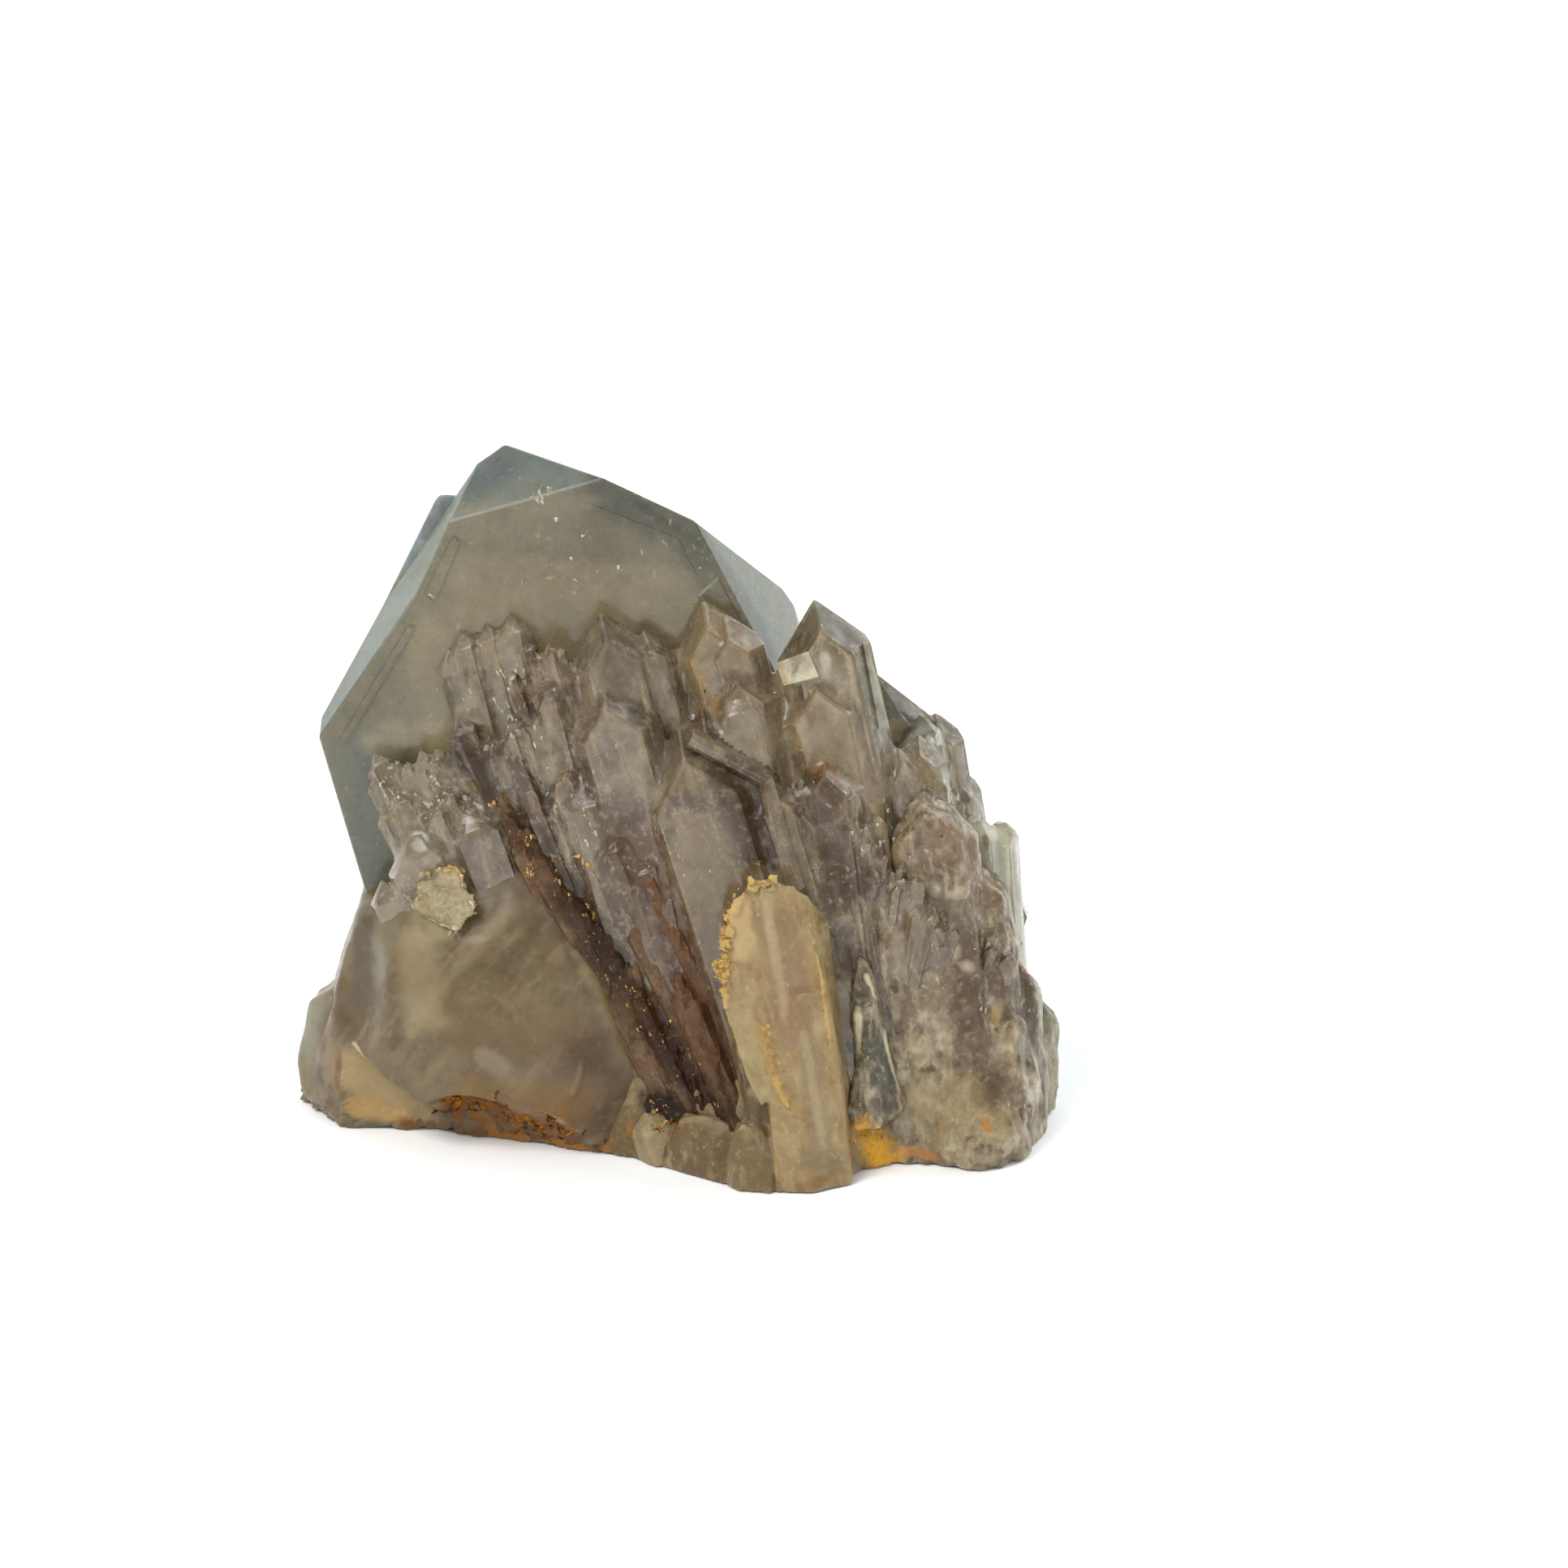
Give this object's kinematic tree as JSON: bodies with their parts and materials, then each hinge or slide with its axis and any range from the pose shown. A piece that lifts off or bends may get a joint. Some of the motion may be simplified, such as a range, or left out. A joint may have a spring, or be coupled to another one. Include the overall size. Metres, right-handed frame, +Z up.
{
  "type": "quartz crystal cluster",
  "caption": "Fan-shaped cluster of smoky, faintly yellow quartz crystals with a broken lump at one side, cut flat to stand on its base.",
  "frame": {"origin": "middle of the footprint's box, on the flat cut that the cluster stands on", "axes": "+Z up, +X to the right along the cluster's width, -Y towards the show side"},
  "size_m": [0.0768, 0.0432, 0.0666],
  "materials": {
    "quartz": "clear to milky quartz with glassy faces and rusty stains"
  },
  "bodies": {
    "root": {"crystal_cluster": "quartz"}
  },
  "joints": []
}
